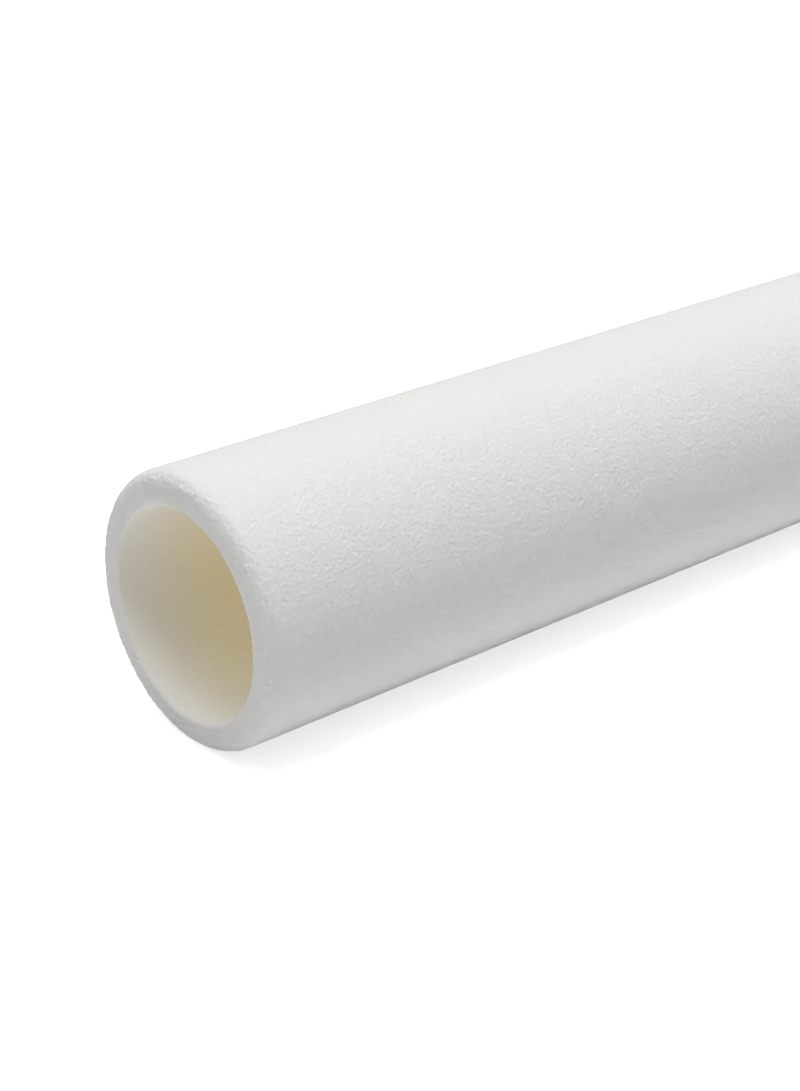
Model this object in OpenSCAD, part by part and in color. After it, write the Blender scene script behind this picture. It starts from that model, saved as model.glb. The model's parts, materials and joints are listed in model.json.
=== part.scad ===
// Hollow foam roller: one straight tube of white polyethylene foam, open from end to end.
// It lies along X and rests on the plane Z = 0, with the middle of its length at X = 0.

/* [Tube] */
// Length from end face to end face
roller_length = 600; // [300:5:900]
// Diameter over the foam
outer_d = 150; // [120:1:180]
// Thickness of the foam wall
wall = 18; // [15:0.5:40]

/* [Rims] */
// Radius that rounds each end off into the outside of the tube
outer_rim_r = 8.5; // [4:0.5:10]
// Radius that softens each mouth of the bore
inner_rim_r = 2.5; // [1:0.5:4]

/* [Hidden] */

// Facets that OpenSCAD draws in a full turn
$fn = 180;

outer_r = outer_d / 2;
bore_r = outer_r - wall;
foam_white = [0.93, 0.93, 0.91];

// What is cut from a square corner at the origin to leave it rounded to radius r.
module corner_waste(r) {
    difference() {
        square(r);
        translate([r, r]) circle(r);
    }
}

// The outside and inside corners of the wall at its lower end, side by side.
module rim_waste() {
    corner_waste(inner_rim_r);
    translate([wall, 0]) mirror([1, 0]) corner_waste(outer_rim_r);
}

// Half of the tube cut lengthwise: X runs out from the bore's surface, Y along the tube.
module wall_section() {
    difference() {
        square([wall, roller_length]);
        rim_waste();
        translate([0, roller_length]) mirror([0, 1]) rim_waste();
    }
}

// Turned about Z, then laid on its side.
module foam_tube() {
    color(foam_white)
        translate([-roller_length / 2, 0, outer_r])
            rotate([0, 90, 0])
                rotate_extrude()
                    translate([bore_r, 0]) wall_section();
}

foam_tube();
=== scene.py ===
"""Hollow foam roller: a white polyethylene foam tube lying on a pale studio floor.

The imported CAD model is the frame. Its one node, foam_tube, is replaced by a mesh of the
same length and outside, with the foam's grain in it: low pebbles all over the skin, looser
crumbs on the rounded rims, and a nearly smooth bore, which is a little wider and lower than
the CAD model's. Everything is in metres in the row frame: the tube lies along X on the plane
Z = 0, with the middle of its length at X = 0.
"""

from __future__ import annotations

import json
import logging
import math
from dataclasses import dataclass, field
from enum import Enum

import bmesh
import bpy
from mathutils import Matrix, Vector, noise


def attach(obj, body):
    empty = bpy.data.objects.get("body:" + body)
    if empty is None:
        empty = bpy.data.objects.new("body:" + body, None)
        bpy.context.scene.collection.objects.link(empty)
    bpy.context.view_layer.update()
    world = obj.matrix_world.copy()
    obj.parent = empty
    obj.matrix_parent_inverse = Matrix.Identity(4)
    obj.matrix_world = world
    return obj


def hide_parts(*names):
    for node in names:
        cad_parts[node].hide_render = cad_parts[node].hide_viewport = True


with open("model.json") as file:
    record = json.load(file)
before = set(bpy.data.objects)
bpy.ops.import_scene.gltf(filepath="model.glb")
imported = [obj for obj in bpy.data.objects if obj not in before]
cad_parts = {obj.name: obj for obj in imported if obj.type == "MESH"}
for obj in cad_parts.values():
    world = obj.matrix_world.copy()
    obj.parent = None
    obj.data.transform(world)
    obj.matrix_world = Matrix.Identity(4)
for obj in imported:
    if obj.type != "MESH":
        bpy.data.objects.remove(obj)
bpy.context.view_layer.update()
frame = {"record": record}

log = logging.getLogger("foam_roller")

MM = 0.001
MERGE_DISTANCE = 0.01 * MM
PURE_WHITE = "FFFFFF"
NODE = "foam_tube"
BODY = "root"


# ---------------------------------------------------------------- small helpers


def linear(srgb_hex: str) -> tuple[float, float, float, float]:
    """Turns an sRGB colour into the linear colour that a shader takes.

    Args:
        srgb_hex: The colour as six hex digits, such as "F4F4F0".

    Returns:
        Red, green, blue and an alpha of 1, all linear.
    """
    channels = (int(srgb_hex[i : i + 2], 16) / 255 for i in (0, 2, 4))
    red, green, blue = (
        c / 12.92 if c <= 0.04045 else ((c + 0.055) / 1.055) ** 2.4 for c in channels
    )
    return red, green, blue, 1.0


def add_node(
    tree: bpy.types.NodeTree,
    kind: str,
    settings: dict[str, object] | None = None,
    sockets: dict[str | int, object] | None = None,
) -> bpy.types.Node:
    """Adds one shader node, with its settings and its inputs.

    Args:
        tree: The node tree that gets it.
        kind: The node's type, such as "ShaderNodeTexNoise".
        settings: The node's own attributes and their values.
        sockets: Its inputs, by name or place: a value, or the output socket to link from.

    Returns:
        The new node.
    """
    node = tree.nodes.new(kind)
    for name, value in (settings or {}).items():
        setattr(node, name, value)
    for key, value in (sockets or {}).items():
        if isinstance(value, bpy.types.NodeSocket):
            tree.links.new(value, node.inputs[key])
        else:
            node.inputs[key].default_value = value
    return node


def smooth_step(value: float, start: float, end: float) -> float:
    """Eases from 0 at start to 1 at end.

    Args:
        value: Where it is read.
        start: The value that gives 0.
        end: The value that gives 1, above or below start.

    Returns:
        A number from 0 to 1.
    """
    t = min(max((value - start) / (end - start), 0.0), 1.0)
    return t * t * (3 - 2 * t)


# ---------------------------------------------------------------- sizes and grain


@dataclass(frozen=True)
class TubeSizes:
    """The tube's main sizes, in metres.

    The first four come from the frame. The outer rim is the CAD model's too, which the
    frame doesn't name. The last two are where the foam's own bore differs from it.

    Attributes:
        length: From end face to end face.
        outer_r: Radius of the skin.
        bore_r: Radius of the bore.
        mouth_start: Where the plain bore ends, from the middle of the length.
        outer_rim_r: Radius that rounds each end into the skin.
        bore_wider: How much larger the foam's own bore is than the CAD model's.
        bore_drop: How far the foam's own bore lies under the tube's axis.
    """

    length: float
    outer_r: float
    bore_r: float
    mouth_start: float
    outer_rim_r: float = 8.5 * MM
    bore_wider: float = 0.8 * MM
    bore_drop: float = 1.2 * MM

    @classmethod
    def from_frame(cls) -> TubeSizes:
        """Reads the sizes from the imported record.

        Returns:
            The sizes of the node that this scene dresses.
        """
        record = frame["record"]
        length, width, _ = record["size"]["bbox_m"]
        bore = next(m for m in record["mounts"] if m["name"] == "bore")
        plain_bore = bore["dims"]["length_mm"] * MM
        return cls(
            length=length,
            outer_r=width / 2,
            bore_r=bore["dims"]["r_mm"] * MM,
            mouth_start=plain_bore / 2,
        )

    @property
    def half_length(self) -> float:
        """Distance from the middle of the tube to an end face."""
        return self.length / 2

    @property
    def inner_rim_r(self) -> float:
        """Radius that softens each mouth: what the plain bore lacks at each end."""
        return self.half_length - self.mouth_start

    @property
    def axis_height(self) -> float:
        """Height of the axis over the floor, as the tube lies on its outside."""
        return self.outer_r


class Pattern(Enum):
    """The noise that a layer of grain is cut from."""

    PEBBLES = "PERLIN_ORIGINAL"
    CRUMBS = "VORONOI_F1"


@dataclass(frozen=True)
class GrainLayer:
    """One layer of relief on the foam.

    Attributes:
        pattern: The shape of its bumps.
        spacing: Rough distance from bump to bump, in metres.
        height: How far its bumps stand from hollow to top, in metres.
    """

    pattern: Pattern
    spacing: float
    height: float

    def relief(self, point: Vector) -> float:
        """Gives how far the layer moves a point of the surface outwards.

        Args:
            point: The point on the smooth surface.

        Returns:
            The move in metres, about zero on average.
        """
        value = noise.noise(point / self.spacing, noise_basis=self.pattern.value)
        if self.pattern is Pattern.CRUMBS:
            value = -value  # lowest in the middle of each cell, so turned over it is a crumb
        return value * self.height / 2


# ---------------------------------------------------------------- finishes


@dataclass(frozen=True)
class FoamFinish:
    """White closed-cell polyethylene foam with the skin it gets when it is extruded.

    The eye sees a soft white without gloss, because the gas cells scatter the light just
    under the skin. Low rounded cells pebble the skin and the rounded ends, with painted
    shade in the colour of the hollows between them and painted light on their tops. The bore
    is smoother. The light that soaks through the wall into it has lost some of its blue;
    that tinted light is painted into the colour, which turns cream away from the mouths.

    Attributes:
        name: The material's name.
        skin_white: Colour of the skin and of the ends.
        bore_painted_cream: Painted cream for the tinted light in the bore, away from the
            mouths.
        roughness: Lowest and highest roughness, from cell to cell.
        ior: Refraction of the polymer's skin.
        gloss: Its specular level, half the usual one, as the skin is broken up by its cells.
        cell: Rough distance from cell to cell, in metres.
        cell_octaves: How many finer layers the cell pattern has.
        cell_fineness: How strong each finer layer is against the one before it.
        cell_depth: Height of the cell pattern's whole range, in metres.
        hollow_shade: Painted shade and light: share of the colour the deepest hollows lose
            and the tops gain.
        bore_relief: What is left of the cells in the bore, from 0 to 1.
        mottle: Size of the faint clouds in the white, in metres.
        mottle_octaves: How many finer layers the clouds have.
        mottle_shade: Share of light that the darkest cloud loses.
        scatter_share: Share of the light that goes under the skin and comes out again.
        scatter_depth: How far it travels there, in metres.
        scatter_reach: That distance for red, green and blue. Blue goes least far.
        painted_cream_from: How far in from a mouth the painted cream starts, in metres.
        painted_cream_full: How far in the painted cream is whole, in metres.
    """

    name: str = "polyethylene_foam_extruded_skin"
    skin_white: str = "F3F3F2"
    # Painted cream: stands for the blue-poor light that soaks through the wall into the
    # bore.
    bore_painted_cream: str = "F8EFD8"
    roughness: tuple[float, float] = (0.62, 0.80)
    ior: float = 1.45
    gloss: float = 0.25
    cell: float = 2.1 * MM
    cell_octaves: float = 3.0
    cell_fineness: float = 0.55
    cell_depth: float = 0.95 * MM
    hollow_shade: float = 0.06
    bore_relief: float = 0.08
    mottle: float = 7.0 * MM
    mottle_octaves: float = 3.0
    mottle_shade: float = 0.012
    scatter_share: float = 0.6
    scatter_depth: float = 0.5 * MM
    scatter_reach: tuple[float, float, float] = (1.0, 0.95, 0.88)
    painted_cream_from: float = 2.0 * MM
    painted_cream_full: float = 70.0 * MM

    def material(self, sizes: TubeSizes) -> bpy.types.Material:
        """Builds the foam's material.

        Args:
            sizes: The tube's sizes, which tell the bore from the skin.

        Returns:
            The material.
        """
        material = bpy.data.materials.new(self.name)
        material.use_nodes = True
        tree = material.node_tree
        tree.nodes.clear()
        where = add_node(tree, "ShaderNodeTexCoord").outputs["Object"]
        centred = add_node(
            tree,
            "ShaderNodeVectorMath",
            {"operation": "SUBTRACT"},
            {0: where, 1: (0.0, 0.0, sizes.axis_height - sizes.bore_drop)},
        ).outputs[0]
        inside = self._inside(tree, centred, sizes)
        cells = add_node(
            tree,
            "ShaderNodeTexNoise",
            None,
            {
                "Vector": where,
                "Scale": 1 / self.cell,
                "Detail": self.cell_octaves,
                "Roughness": self.cell_fineness,
            },
        ).outputs["Fac"]
        lowest, highest = self.roughness
        roughness = add_node(
            tree,
            "ShaderNodeMapRange",
            None,
            {"Value": cells, "To Min": lowest, "To Max": highest},
        ).outputs["Result"]
        shader = add_node(
            tree,
            "ShaderNodeBsdfPrincipled",
            {"subsurface_method": "RANDOM_WALK"},
            {
                "Base Color": self._colour(tree, where, centred, inside, cells, sizes),
                "Roughness": roughness,
                "IOR": self.ior,
                "Specular IOR Level": self.gloss,
                "Subsurface Weight": self.scatter_share,
                "Subsurface Radius": self.scatter_reach,
                "Subsurface Scale": self.scatter_depth,
                "Normal": self._relief(tree, inside, cells),
            },
        )
        add_node(
            tree, "ShaderNodeOutputMaterial", None, {"Surface": shader.outputs["BSDF"]}
        )
        return material

    def _inside(
        self,
        tree: bpy.types.NodeTree,
        centred: bpy.types.NodeSocket,
        sizes: TubeSizes,
    ) -> bpy.types.NodeSocket:
        """Tells the bore from the rest by the distance from its middle line.

        Args:
            tree: The material's nodes.
            centred: Coordinates from the middle of the bore.
            sizes: The tube's sizes.

        Returns:
            The socket that is 1 in the bore and 0 outside its rounded mouths.
        """
        across = add_node(
            tree,
            "ShaderNodeVectorMath",
            {"operation": "MULTIPLY"},
            {0: centred, 1: (0.0, 1.0, 1.0)},
        ).outputs[0]
        radius = add_node(
            tree, "ShaderNodeVectorMath", {"operation": "LENGTH"}, {0: across}
        ).outputs["Value"]
        bore_r = sizes.bore_r + sizes.bore_wider
        return add_node(
            tree,
            "ShaderNodeMapRange",
            {"interpolation_type": "SMOOTHSTEP"},
            {"Value": radius, "From Min": bore_r + sizes.inner_rim_r, "From Max": bore_r},
        ).outputs["Result"]

    def _colour(
        self,
        tree: bpy.types.NodeTree,
        where: bpy.types.NodeSocket,
        centred: bpy.types.NodeSocket,
        inside: bpy.types.NodeSocket,
        cells: bpy.types.NodeSocket,
        sizes: TubeSizes,
    ) -> bpy.types.NodeSocket:
        """Goes from the skin's white to the painted cream of the bore's tinted light, with
        painted shade in the cells' hollows, painted light on their tops and faint clouds in
        the white.

        Args:
            tree: The material's nodes.
            where: Object coordinates.
            centred: Coordinates from the middle of the bore.
            inside: 1 in the bore and 0 outside.
            cells: The cell pattern, from 0 in the hollows to 1 on the tops.
            sizes: The tube's sizes.

        Returns:
            The colour socket.
        """
        along = add_node(
            tree, "ShaderNodeSeparateXYZ", None, {"Vector": centred}
        ).outputs["X"]
        from_middle = add_node(
            tree, "ShaderNodeMath", {"operation": "ABSOLUTE"}, {0: along}
        ).outputs[0]
        # Painted cream: the colour turns cream deeper in the bore, for the tinted light that
        # soaks through the wall.
        deep = add_node(
            tree,
            "ShaderNodeMapRange",
            {"interpolation_type": "SMOOTHSTEP"},
            {
                "Value": from_middle,
                "From Min": sizes.half_length - self.painted_cream_from,
                "From Max": sizes.half_length - self.painted_cream_full,
            },
        ).outputs["Result"]
        cream = add_node(
            tree, "ShaderNodeMath", {"operation": "MULTIPLY"}, {0: inside, 1: deep}
        ).outputs[0]
        base = add_node(
            tree,
            "ShaderNodeMix",
            {"data_type": "RGBA"},
            {
                "Factor": cream,
                "A": linear(self.skin_white),
                "B": linear(self.bore_painted_cream),
            },
        ).outputs["Result"]
        clouds = add_node(
            tree,
            "ShaderNodeTexNoise",
            None,
            {"Vector": where, "Scale": 1 / self.mottle, "Detail": self.mottle_octaves},
        ).outputs["Fac"]
        cloud_shade = add_node(
            tree,
            "ShaderNodeMapRange",
            None,
            {"Value": clouds, "To Min": 1 - self.mottle_shade, "To Max": 1.0},
        ).outputs["Result"]
        # Painted shade in the cells' hollows and painted light on their tops, for the
        # self-shadowing that the bump doesn't cast.
        cell_shade = add_node(
            tree,
            "ShaderNodeMapRange",
            None,
            {
                "Value": cells,
                "To Min": 1 - self.hollow_shade,
                "To Max": 1 + self.hollow_shade,
            },
        ).outputs["Result"]
        shade = add_node(
            tree,
            "ShaderNodeMath",
            {"operation": "MULTIPLY"},
            {0: cloud_shade, 1: cell_shade},
        ).outputs[0]
        return add_node(
            tree,
            "ShaderNodeVectorMath",
            {"operation": "SCALE"},
            {0: base, "Scale": shade},
        ).outputs[0]

    def _relief(
        self,
        tree: bpy.types.NodeTree,
        inside: bpy.types.NodeSocket,
        cells: bpy.types.NodeSocket,
    ) -> bpy.types.NodeSocket:
        """Raises the cells, finer than the mesh can carry them, and hardly any in the bore.

        Args:
            tree: The material's nodes.
            inside: 1 in the bore and 0 outside.
            cells: The cell pattern.

        Returns:
            The normal socket.
        """
        depth = add_node(
            tree,
            "ShaderNodeMapRange",
            None,
            {
                "Value": inside,
                "To Min": self.cell_depth,
                "To Max": self.cell_depth * self.bore_relief,
            },
        ).outputs["Result"]
        return add_node(
            tree,
            "ShaderNodeBump",
            None,
            {"Strength": 1.0, "Distance": depth, "Height": cells},
        ).outputs["Normal"]


@dataclass(frozen=True)
class FloorFinish:
    """Matt white card that looks much brighter than it lights the roller.

    The eye sees an overexposed card: pure white, with the roller's shadow nearly washed
    out. What it throws back onto the roller is what plain white card would.

    Attributes:
        name: The material's name.
        white: The card's colour.
        roughness: How matt it is.
        gloss: Its specular level, low as card has hardly any.
        lift: Extra brightness that only the camera sees.
    """

    name: str = "matt_white_card"
    white: str = "F8F8F7"
    roughness: float = 0.95
    gloss: float = 0.1
    lift: float = 0.8

    def material(self) -> bpy.types.Material:
        """Builds the floor's material.

        Returns:
            The material.
        """
        material = bpy.data.materials.new(self.name)
        material.use_nodes = True
        tree = material.node_tree
        tree.nodes.clear()
        seen = add_node(tree, "ShaderNodeLightPath").outputs["Is Camera Ray"]
        lift = add_node(
            tree, "ShaderNodeMath", {"operation": "MULTIPLY"}, {0: seen, 1: self.lift}
        ).outputs[0]
        shader = add_node(
            tree,
            "ShaderNodeBsdfPrincipled",
            None,
            {
                "Base Color": linear(self.white),
                "Roughness": self.roughness,
                "Specular IOR Level": self.gloss,
                "Emission Color": linear(self.white),
                "Emission Strength": lift,
            },
        )
        add_node(
            tree, "ShaderNodeOutputMaterial", None, {"Surface": shader.outputs["BSDF"]}
        )
        return material


# ---------------------------------------------------------------- the tube


@dataclass
class FoamTube:
    """The roller itself: one straight tube of foam with rounded rims.

    Attributes:
        sizes: Its main sizes.
        finish: The foam it is made of.
        around: How many faces go round it, about 1 mm each at the skin.
        skin_step: Length of a face along the skin.
        rim_step: Length of a face round the rims and over the end faces.
        bore_step: Length of a face along the smooth bore.
        fewest_arc_faces: The least number of faces that a rounded rim is made of.
        pebbles: Layers of grain all over the skin.
        crumbs: Layers of extra relief where the ends are rounded.
        skin_sink: How far the skin's middle level lies under the CAD surface.
        bore_grain: What is left of the grain in the bore, from 0 to 1.
        crumb_reach: How far from an end the crumbs fade out on the skin.
        mouth_reach: How far from an end they fade out in the bore.
    """

    sizes: TubeSizes
    finish: FoamFinish
    around: int = 480
    skin_step: float = 1.0 * MM
    rim_step: float = 0.7 * MM
    bore_step: float = 5.0 * MM
    fewest_arc_faces: int = 3
    pebbles: tuple[GrainLayer, ...] = (
        GrainLayer(Pattern.PEBBLES, spacing=2.6 * MM, height=0.30 * MM),
    )
    crumbs: tuple[GrainLayer, ...] = (
        GrainLayer(Pattern.CRUMBS, spacing=2.4 * MM, height=0.80 * MM),
    )
    skin_sink: float = 0.12 * MM
    bore_grain: float = 0.12
    crumb_reach: float = 11.0 * MM
    mouth_reach: float = 2.0 * MM

    def build(self) -> bpy.types.Object:
        """Makes the tube's mesh and the object that shows it.

        Returns:
            The object, at the origin, with its place in its mesh.
        """
        shape = bmesh.new()
        self._wall_outline(shape)
        self._turn(shape)
        self._divide_lengths(shape)
        self._roughen(shape)
        self._drift_bore(shape)
        for face in shape.faces:
            face.smooth = True
        mesh = bpy.data.meshes.new("foam_tube_skin")
        shape.to_mesh(mesh)
        shape.free()
        tube = bpy.data.objects.new("foam_tube_skin", mesh)
        bpy.context.scene.collection.objects.link(tube)
        return tube

    def dress(self, tube: bpy.types.Object) -> None:
        """Gives the tube its finish and ties it to the CAD frame.

        Args:
            tube: The object that build() made.
        """
        tube.data.materials.append(self.finish.material(self.sizes))
        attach(tube, BODY)
        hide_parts(NODE)

    def _wall_outline(self, shape: bmesh.types.BMesh) -> None:
        """Draws the outline of the wall, cut lengthwise above the axis.

        Args:
            shape: The empty mesh that gets the outline.
        """
        sizes = self.sizes
        corners = [
            shape.verts.new((x, 0.0, sizes.axis_height + r))
            for x, r in (
                (-sizes.half_length, sizes.bore_r),
                (sizes.half_length, sizes.bore_r),
                (sizes.half_length, sizes.outer_r),
                (-sizes.half_length, sizes.outer_r),
            )
        ]
        shape.faces.new(corners)
        self._round_corners(shape, corners[:2], sizes.inner_rim_r)
        self._round_corners(shape, corners[2:], sizes.outer_rim_r)
        bmesh.ops.delete(shape, geom=shape.faces[:], context="FACES_ONLY")
        for edge in shape.edges[:]:
            across_wall = abs(edge.verts[0].co.z - edge.verts[1].co.z)
            # only the flat of an end face runs so far across the wall
            if across_wall > 2 * self.rim_step:
                cuts = round(across_wall / self.rim_step) - 1
                bmesh.ops.subdivide_edges(shape, edges=[edge], cuts=cuts)

    def _round_corners(
        self,
        shape: bmesh.types.BMesh,
        corners: list[bmesh.types.BMVert],
        radius: float,
    ) -> None:
        """Rounds corners of the outline to an arc.

        Args:
            shape: The outline's mesh.
            corners: The sharp corners, which go.
            radius: Radius of the arc.
        """
        arc = radius * math.pi / 2
        bmesh.ops.bevel(
            shape,
            geom=corners,
            offset=radius,
            offset_type="OFFSET",
            affect="VERTICES",
            segments=max(self.fewest_arc_faces, round(arc / self.rim_step)),
            profile=0.5,
            material=-1,
        )

    def _turn(self, shape: bmesh.types.BMesh) -> None:
        """Turns the outline about the axis into a closed tube.

        Args:
            shape: The outline's mesh.
        """
        bmesh.ops.spin(
            shape,
            geom=shape.verts[:] + shape.edges[:],
            cent=(0.0, 0.0, self.sizes.axis_height),
            axis=(1.0, 0.0, 0.0),
            dvec=(0.0, 0.0, 0.0),
            angle=2 * math.pi,
            steps=self.around,
            use_merge=True,
            use_normal_flip=False,
            use_duplicate=False,
        )
        bmesh.ops.remove_doubles(shape, verts=shape.verts[:], dist=MERGE_DISTANCE)
        bmesh.ops.recalc_face_normals(shape, faces=shape.faces[:])

    def _divide_lengths(self, shape: bmesh.types.BMesh) -> None:
        """Cuts the long faces of the skin and of the bore across, to their wanted length.

        Args:
            shape: The closed tube, whose plain stretches are still one face long.
        """
        sizes = self.sizes
        long_edges = [e for e in shape.edges if e.calc_length() > sizes.half_length]
        middle_r = (sizes.outer_r + sizes.bore_r) / 2
        for on_skin, step in ((True, self.skin_step), (False, self.bore_step)):
            edges = [
                e for e in long_edges if (self._radius(e.verts[0].co) > middle_r) is on_skin
            ]
            cuts = round(edges[0].calc_length() / step) - 1
            bmesh.ops.subdivide_edges(shape, edges=edges, cuts=cuts, use_grid_fill=True)

    def _drift_bore(self, shape: bmesh.types.BMesh) -> None:
        """Widens the bore and lowers it in the wall, and leaves the outside as it is.

        Args:
            shape: The closed tube, with its bore on its axis.
        """
        sizes = self.sizes
        for vert in shape.verts:
            radius = self._radius(vert.co)
            share = smooth_step(radius, sizes.outer_r - sizes.outer_rim_r, sizes.bore_r)
            if share > 0:
                wider = share * sizes.bore_wider / radius
                vert.co.y += vert.co.y * wider
                vert.co.z += (vert.co.z - sizes.axis_height) * wider
                vert.co.z -= share * sizes.bore_drop

    def _radius(self, point: Vector) -> float:
        """Distance of a point from the tube's axis."""
        return math.hypot(point.y, point.z - self.sizes.axis_height)

    def _roughen(self, shape: bmesh.types.BMesh) -> None:
        """Moves the surface in and out by the grain, square to itself.

        Args:
            shape: The closed tube.
        """
        shape.normal_update()
        moves = [vert.normal * self._relief(vert.co) for vert in shape.verts]
        for vert, move in zip(shape.verts, moves):
            vert.co += move

    def _relief(self, point: Vector) -> float:
        """Gives the grain's height at a point of the smooth surface.

        Args:
            point: The point.

        Returns:
            How far it moves outwards, in metres.
        """
        sizes = self.sizes
        radius = self._radius(point)
        from_end = sizes.half_length - abs(point.x)
        bore = smooth_step(radius, sizes.bore_r + sizes.inner_rim_r, sizes.bore_r)
        strength = 1 + (self.bore_grain - 1) * bore
        height = strength * sum(layer.relief(point) for layer in self.pebbles)
        reach = self.crumb_reach + (self.mouth_reach - self.crumb_reach) * bore
        loose = smooth_step(from_end, reach, 0.0)
        if loose > 0:
            height += loose * sum(layer.relief(point) for layer in self.crumbs)
        return height - self.skin_sink * (1 - bore)


# ---------------------------------------------------------------- the studio


@dataclass(frozen=True)
class SoftLight:
    """One wide light, so far off that it falls evenly on the whole scene.

    Attributes:
        name: What it does.
        azimuth: Where it stands, in degrees from +X towards +Y.
        elevation: How high it stands, in degrees.
        spread: How wide it looks from the roller, in degrees. Wider is softer.
        strength: The light it gives on a face square to it, in W/m2.
        tint: Its red, green and blue, the strongest of them 1.
    """

    name: str
    azimuth: float
    elevation: float
    spread: float
    strength: float
    tint: tuple[float, float, float] = (1.0, 1.0, 1.0)

    def build(self) -> None:
        """Makes the light."""
        turn, rise = math.radians(self.azimuth), math.radians(self.elevation)
        towards = Vector(
            (
                math.cos(turn) * math.cos(rise),
                math.sin(turn) * math.cos(rise),
                math.sin(rise),
            )
        )
        lamp = bpy.data.lights.new(self.name, "SUN")
        lamp.angle = math.radians(self.spread)
        lamp.energy = self.strength
        lamp.color = self.tint
        light = bpy.data.objects.new(self.name, lamp)
        light.rotation_euler = (-towards).to_track_quat("-Z", "Y").to_euler()
        bpy.context.scene.collection.objects.link(light)


@dataclass(frozen=True)
class BoreGlow:
    """The daylight that soaks through the thin wall and fills the bore.

    The foam's own scattering can't carry light through the whole wall, so a row of faint
    lamps on the axis gives the bore what the wall would let through. The camera can't see
    them.

    Attributes:
        lamps: How many there are, evenly about the middle of the length.
        spacing: From lamp to lamp, in metres.
        radius: Of each lamp, in metres.
        power: Of each lamp, in watts.
        tint: Their red, green and blue.
    """

    lamps: int = 9
    spacing: float = 60.0 * MM
    radius: float = 20.0 * MM
    power: float = 0.0086
    tint: tuple[float, float, float] = (1.0, 0.98, 0.84)

    def build(self, sizes: TubeSizes) -> None:
        """Makes the row of lamps.

        Args:
            sizes: The tube's sizes, which place the axis.
        """
        for place in range(self.lamps):
            name = f"bore_glow_{place + 1}"
            lamp = bpy.data.lights.new(name, "POINT")
            lamp.energy = self.power
            lamp.shadow_soft_size = self.radius
            lamp.color = self.tint
            light = bpy.data.objects.new(name, lamp)
            along = (place - (self.lamps - 1) / 2) * self.spacing
            light.location = (along, 0.0, sizes.axis_height)
            light.visible_camera = False
            bpy.context.scene.collection.objects.link(light)


@dataclass(frozen=True)
class ProductCamera:
    """The camera, in front of the tube and past its left end, looking down into the bore.

    Attributes:
        lens: Focal length in millimetres.
        sensor: Width of its sensor in millimetres.
        aim_from_end: How far along the tube from its near end the middle of the view lies.
        aim_height: How high over the floor it lies.
        distance: From the camera to that point.
        azimuth: Turn from looking along +Y, in degrees, negative towards +X.
        elevation: How steeply it looks down, in degrees.
    """

    lens: float = 70.56
    sensor: float = 36.0
    aim_from_end: float = 145.2 * MM
    aim_height: float = 69.9 * MM
    distance: float = 1164.8 * MM
    azimuth: float = -40.78
    elevation: float = 24.58

    def build(self, sizes: TubeSizes) -> None:
        """Makes the camera and sets it as the scene's.

        Args:
            sizes: The tube's sizes, which place the near end.
        """
        turn, tilt = math.radians(self.azimuth), math.radians(self.elevation)
        forward = Vector(
            (
                -math.sin(turn) * math.cos(tilt),
                math.cos(turn) * math.cos(tilt),
                -math.sin(tilt),
            )
        )
        aim = Vector((self.aim_from_end - sizes.half_length, 0.0, self.aim_height))
        data = bpy.data.cameras.new("product_camera")
        data.lens = self.lens
        data.sensor_width = self.sensor
        camera = bpy.data.objects.new("product_camera", data)
        camera.location = aim - forward * self.distance
        camera.rotation_euler = forward.to_track_quat("-Z", "Y").to_euler()
        bpy.context.scene.collection.objects.link(camera)
        bpy.context.scene.camera = camera


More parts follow.
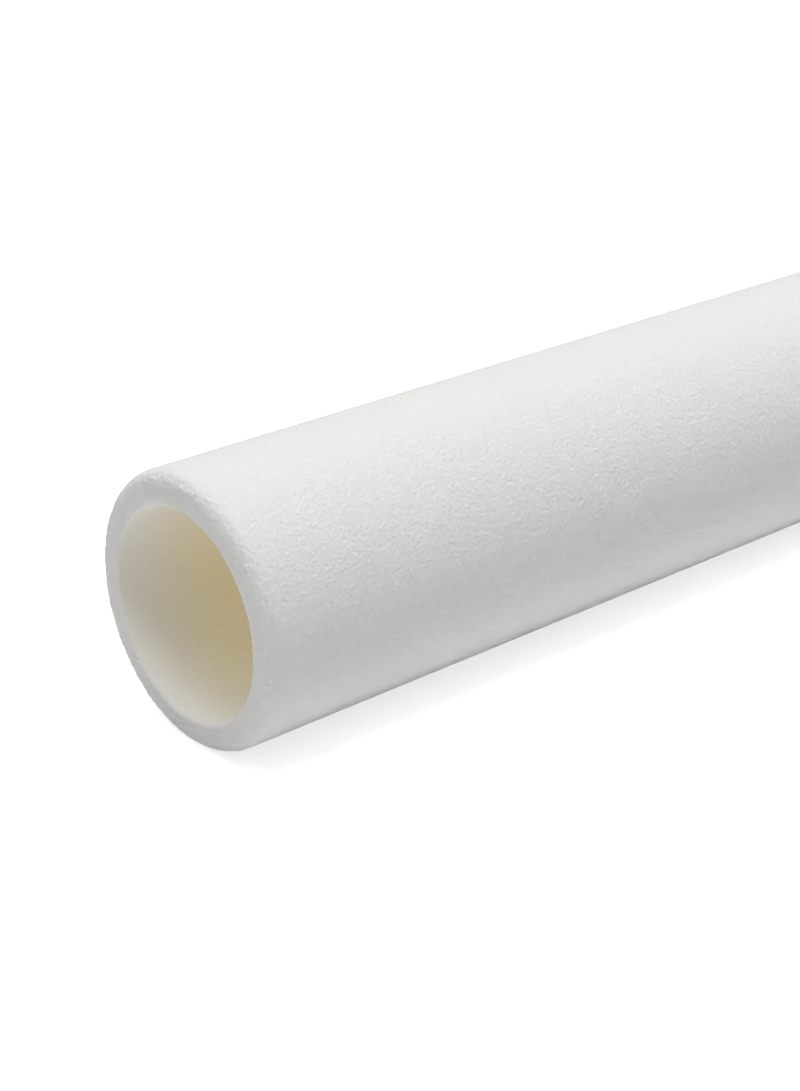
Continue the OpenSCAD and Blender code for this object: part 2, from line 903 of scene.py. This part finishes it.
@dataclass
class Studio:
    """The pale floor, the soft lights and a white backdrop that lights nothing.

    Attributes:
        finish: The floor's finish.
        floor_size: The floor's side, in metres.
        backdrop: Brightness of the white behind the floor, for the camera alone.
        lights: The lights over the roller.
        glow: The light in the bore.
    """

    finish: FloorFinish = field(default_factory=FloorFinish)
    floor_size: float = 12.0
    backdrop: float = 1.1
    lights: tuple[SoftLight, ...] = (
        SoftLight(
            "overhead",
            azimuth=-90.0,
            elevation=85.0,
            spread=34.0,
            strength=1.48,
            tint=(0.985, 0.985, 1.0),
        ),
        SoftLight(
            "right",
            azimuth=0.0,
            elevation=75.0,
            spread=40.0,
            strength=0.965,
            tint=(1.0, 1.0, 0.97),
        ),
        SoftLight(
            "left",
            azimuth=180.0,
            elevation=65.0,
            spread=40.0,
            strength=0.655,
            tint=(1.0, 0.99, 0.98),
        ),
        SoftLight("back", azimuth=90.0, elevation=80.0, spread=40.0, strength=0.12),
    )
    glow: BoreGlow = field(default_factory=BoreGlow)

    def build(self, sizes: TubeSizes) -> None:
        """Makes the floor, the backdrop and the lights, and has colours shown as they are.

        Args:
            sizes: The tube's sizes, which place the glow in its bore.
        """
        self._floor()
        self._backdrop()
        for light in self.lights:
            light.build()
            log.info("light %s: %.2f W/m2", light.name, light.strength)
        self.glow.build(sizes)
        log.info("bore glow: %d lamps of %.4f W", self.glow.lamps, self.glow.power)
        bpy.context.scene.view_settings.view_transform = "Standard"

    def _floor(self) -> None:
        """Makes the floor, which isn't part of the roller."""
        shape = bmesh.new()
        bmesh.ops.create_grid(
            shape, x_segments=1, y_segments=1, size=self.floor_size / 2
        )
        mesh = bpy.data.meshes.new("studio_floor")
        shape.to_mesh(mesh)
        shape.free()
        floor = bpy.data.objects.new("studio_floor", mesh)
        mesh.materials.append(self.finish.material())
        bpy.context.scene.collection.objects.link(floor)

    def _backdrop(self) -> None:
        """Puts white behind the floor, which the camera sees and no light comes from."""
        world = bpy.data.worlds.new("white_backdrop")
        world.use_nodes = True
        tree = world.node_tree
        tree.nodes.clear()
        seen = add_node(tree, "ShaderNodeLightPath").outputs["Is Camera Ray"]
        strength = add_node(
            tree,
            "ShaderNodeMath",
            {"operation": "MULTIPLY"},
            {0: seen, 1: self.backdrop},
        ).outputs[0]
        white = add_node(
            tree,
            "ShaderNodeBackground",
            None,
            {"Color": linear(PURE_WHITE), "Strength": strength},
        )
        add_node(
            tree,
            "ShaderNodeOutputWorld",
            None,
            {"Surface": white.outputs["Background"]},
        )
        bpy.context.scene.world = world


# ---------------------------------------------------------------- the whole scene


def main() -> None:
    """Builds the camera, the foam tube and the studio, in that order."""
    logging.basicConfig(level=logging.INFO, format="%(name)s: %(message)s")
    sizes = TubeSizes.from_frame()
    ProductCamera().build(sizes)
    roller = FoamTube(sizes, FoamFinish())
    tube = roller.build()
    roller.dress(tube)
    log.info("%s: %d faces, %s", tube.name, len(tube.data.polygons), sizes)
    Studio().build(sizes)


if __name__ == "__main__":
    main()
